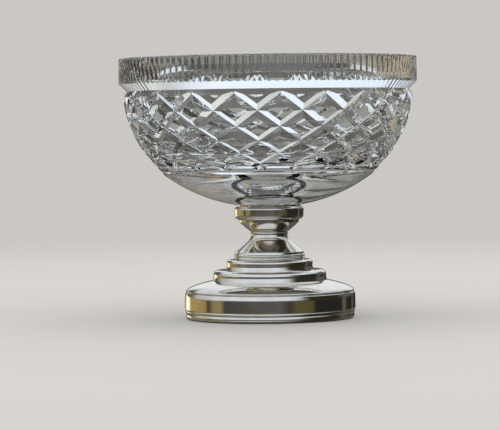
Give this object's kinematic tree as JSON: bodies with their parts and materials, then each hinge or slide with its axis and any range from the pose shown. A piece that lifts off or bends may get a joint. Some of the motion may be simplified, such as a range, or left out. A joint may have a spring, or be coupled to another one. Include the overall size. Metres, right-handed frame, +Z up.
{
  "type": "trifle bowl",
  "caption": "Footed trifle bowl of diamond-cut clear crystal on a polished silver-plated stepped pedestal with a barrel-shaped collar.",
  "frame": {"origin": "centre of the felt's underside, on the surface that the bowl stands on", "axes": "+Z up along the axis of the bowl and its pedestal; +X and +Y level"},
  "size_m": [0.216, 0.216, 0.1894],
  "materials": {
    "crystal": "polished",
    "silver_plate": "polished",
    "plaster": "matte",
    "brass_plate": "turned",
    "iron": "as cast",
    "steel": "zinc plated",
    "board": "raw",
    "felt": "felt"
  },
  "bodies": {
    "root": {"glass_bowl": "crystal", "setting_plaster": "plaster", "collar_cup": "silver_plate", "stud_plate": "brass_plate", "knop_base": "silver_plate", "waist_bead": "silver_plate", "pedestal_cone": "silver_plate", "foot_dome": "silver_plate", "foot_band": "silver_plate", "foot_weight": "iron", "tie_rod": "steel", "clamp_washer": "steel", "clamp_nut": "steel", "base_board": "board", "felt_pad": "felt"}
  },
  "joints": []
}
